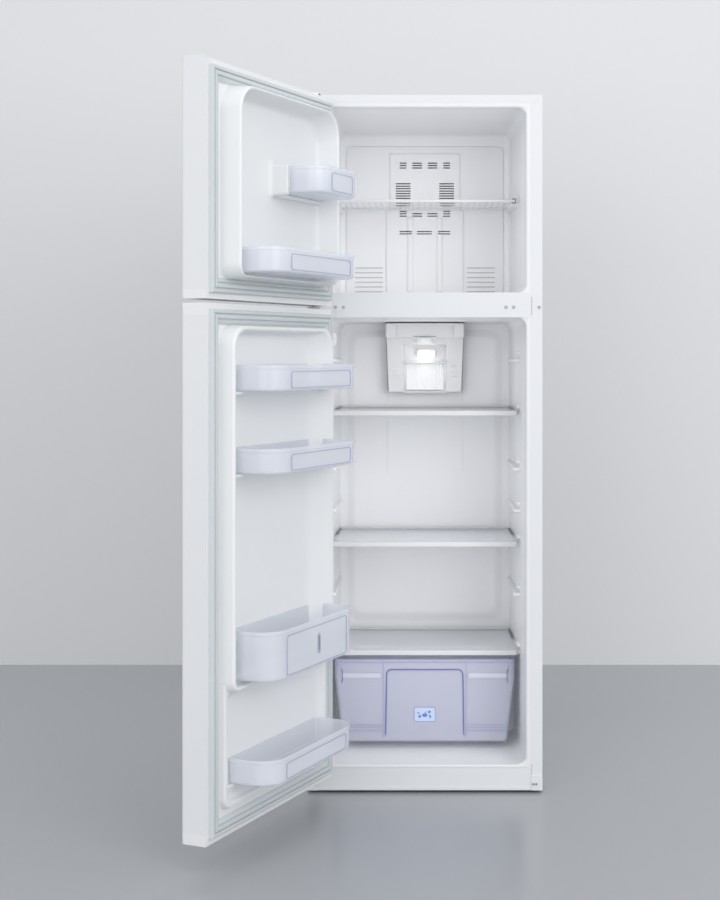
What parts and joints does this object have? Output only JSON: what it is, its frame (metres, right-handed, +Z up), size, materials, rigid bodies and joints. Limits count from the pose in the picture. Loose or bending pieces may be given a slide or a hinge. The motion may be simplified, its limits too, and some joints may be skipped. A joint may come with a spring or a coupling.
{
  "type": "top freezer refrigerator",
  "caption": "Narrow free-standing refrigerator with a freezer compartment on top, hinged doors with door bins, glass shelves, a crisper drawer and a rear condenser.",
  "frame": {"origin": "on the floor, in the middle of the rectangle of the four feet, which is the middle of the cabinet's footprint without doors and condenser", "axes": "+X to the right seen from the front, +Y to the back, +Z up"},
  "size_m": [0.7424, 1.0726, 1.6],
  "materials": {
    "cabinet_enamel": "gloss enamel",
    "door_enamel": "gloss enamel",
    "galvanised_sheet": "zinc coated",
    "foam": "foamed polyurethane",
    "liner_plastic": "formed sheet",
    "trim_plastic": "moulded",
    "screw_steel": "zinc plated",
    "gasket_rubber": "soft vinyl",
    "aluminium_fins": "plain",
    "black_plastic": "moulded",
    "black_steel": "black enamel",
    "foot_plastic": "moulded",
    "shelf_glass": "clear",
    "clear_plastic": "clear",
    "lamp_glass": "frosted",
    "tinted_plastic": "translucent lavender"
  },
  "bodies": {
    "cabinet": {"outer_wrapper": "cabinet_enamel", "back_panel": "galvanised_sheet", "machine_compartment_panel": "galvanised_sheet", "base_frame": "galvanised_sheet", "cabinet_insulation": "foam", "freezer_liner": "liner_plastic", "fridge_liner": "liner_plastic", "mullion_cover": "cabinet_enamel", "lower_front_panel": "cabinet_enamel", "top_hinge_bracket": "galvanised_sheet", "top_hinge_cover": "trim_plastic", "centre_hinge_bracket": "cabinet_enamel", "bottom_hinge_bracket": "cabinet_enamel", "corner_plate": "cabinet_enamel", "hinge_screws": "screw_steel", "screw_plugs": "trim_plastic", "evaporator_cover": "liner_plastic", "evaporator": "aluminium_fins", "drain_trough": "black_plastic", "fan_motor": "black_plastic", "light_housing": "liner_plastic", "lamp_lens": "clear_plastic", "lamp_bulb": "lamp_glass", "door_switch_body": "liner_plastic", "compressor": "black_steel", "evaporation_tray": "black_plastic", "terminal_box": "black_plastic", "condenser": "black_steel", "rear_feet": "foot_plastic"},
    "evaporator_fan": {"evaporator_fan": "black_plastic"},
    "thermostat_knob": {"thermostat_knob": "trim_plastic"},
    "switch_plunger": {"door_switch_plunger": "liner_plastic"},
    "front_foot_left": {"front_foot_left": "foot_plastic"},
    "front_foot_right": {"front_foot_right": "foot_plastic"},
    "freezer_shelf": {"freezer_shelf": "clear_plastic"},
    "upper_shelf": {"upper_shelf_glass": "shelf_glass", "upper_shelf_trim": "trim_plastic"},
    "middle_shelf": {"middle_shelf_glass": "shelf_glass", "middle_shelf_trim": "trim_plastic"},
    "crisper_cover_shelf": {"crisper_cover_shelf_glass": "shelf_glass", "crisper_cover_shelf_trim": "trim_plastic"},
    "crisper_drawer": {"crisper_drawer": "tinted_plastic"},
    "freezer_door": {"freezer_door_skin": "door_enamel", "freezer_door_insulation": "foam", "freezer_door_liner": "liner_plastic", "freezer_door_gasket": "gasket_rubber", "freezer_door_top_cap": "trim_plastic", "freezer_door_bottom_cap": "trim_plastic"},
    "fridge_door": {"fridge_door_skin": "door_enamel", "fridge_door_insulation": "foam", "fridge_door_liner": "liner_plastic", "fridge_door_gasket": "gasket_rubber", "fridge_door_top_cap": "trim_plastic", "fridge_door_bottom_cap": "trim_plastic"},
    "freezer_lower_bin": {"freezer_lower_bin": "tinted_plastic"},
    "freezer_upper_bin": {"freezer_upper_bin": "tinted_plastic"},
    "door_bin_top": {"door_bin_top": "tinted_plastic"},
    "door_bin_second": {"door_bin_second": "tinted_plastic"},
    "bottle_bin": {"bottle_bin": "tinted_plastic"},
    "door_bin_bottom": {"door_bin_bottom": "tinted_plastic"}
  },
  "joints": [
    {"name": "freezer_door_hinge", "type": "hinge", "parent": "cabinet", "child": "freezer_door", "pos_m": [-0.2507, -0.2998, 1.35], "axis": [0, 0, -1], "range_deg": [-113.25, 16.75]},
    {"name": "fridge_door_hinge", "type": "hinge", "parent": "cabinet", "child": "fridge_door", "pos_m": [-0.2507, -0.2998, 0.6], "axis": [0, 0, -1], "range_deg": [-113.25, 16.75]},
    {"name": "crisper_slide", "type": "slide", "parent": "cabinet", "child": "crisper_drawer", "axis": [0, -1, 0], "range_m": [0, 0.15]},
    {"name": "freezer_shelf_slide", "type": "slide", "parent": "cabinet", "child": "freezer_shelf", "axis": [0, -1, 0], "range_m": [0, 0.15]},
    {"name": "upper_shelf_slide", "type": "slide", "parent": "cabinet", "child": "upper_shelf", "axis": [0, -1, 0], "range_m": [0, 0.15]},
    {"name": "middle_shelf_slide", "type": "slide", "parent": "cabinet", "child": "middle_shelf", "axis": [0, -1, 0], "range_m": [0, 0.15]},
    {"name": "crisper_cover_slide", "type": "slide", "parent": "cabinet", "child": "crisper_cover_shelf", "axis": [0, -1, 0], "range_m": [0, 0.15]},
    {"name": "thermostat_turn", "type": "hinge", "parent": "cabinet", "child": "thermostat_knob", "pos_m": [0, 0.1135, 1.041], "axis": [0, 0, -1], "range_deg": [0, 270]},
    {"name": "switch_press", "type": "slide", "parent": "cabinet", "child": "switch_plunger", "axis": [0, 1, 0], "range_m": [0, 0.006], "stiffness_N_per_m": 300, "springref_m": -0.001},
    {"name": "fan_spin", "type": "hinge", "parent": "cabinet", "child": "evaporator_fan", "pos_m": [0, 0.1325, 1.448], "axis": [0, -1, 0], "continuous": true},
    {"name": "left_foot_screw", "type": "slide", "parent": "cabinet", "child": "front_foot_left", "axis": [0, 0, -1], "range_m": [0, 0.012]},
    {"name": "right_foot_screw", "type": "slide", "parent": "cabinet", "child": "front_foot_right", "axis": [0, 0, -1], "range_m": [0, 0.012]},
    {"name": "freezer_lower_bin_lift", "type": "slide", "parent": "freezer_door", "child": "freezer_lower_bin", "axis": [0, 0, 1], "range_m": [0, 0.03]},
    {"name": "freezer_upper_bin_lift", "type": "slide", "parent": "freezer_door", "child": "freezer_upper_bin", "axis": [0, 0, 1], "range_m": [0, 0.03]},
    {"name": "door_bin_top_lift", "type": "slide", "parent": "fridge_door", "child": "door_bin_top", "axis": [0, 0, 1], "range_m": [0, 0.03]},
    {"name": "door_bin_second_lift", "type": "slide", "parent": "fridge_door", "child": "door_bin_second", "axis": [0, 0, 1], "range_m": [0, 0.03]},
    {"name": "bottle_bin_lift", "type": "slide", "parent": "fridge_door", "child": "bottle_bin", "axis": [0, 0, 1], "range_m": [0, 0.03]},
    {"name": "door_bin_bottom_lift", "type": "slide", "parent": "fridge_door", "child": "door_bin_bottom", "axis": [0, 0, 1], "range_m": [0, 0.03]}
  ]
}
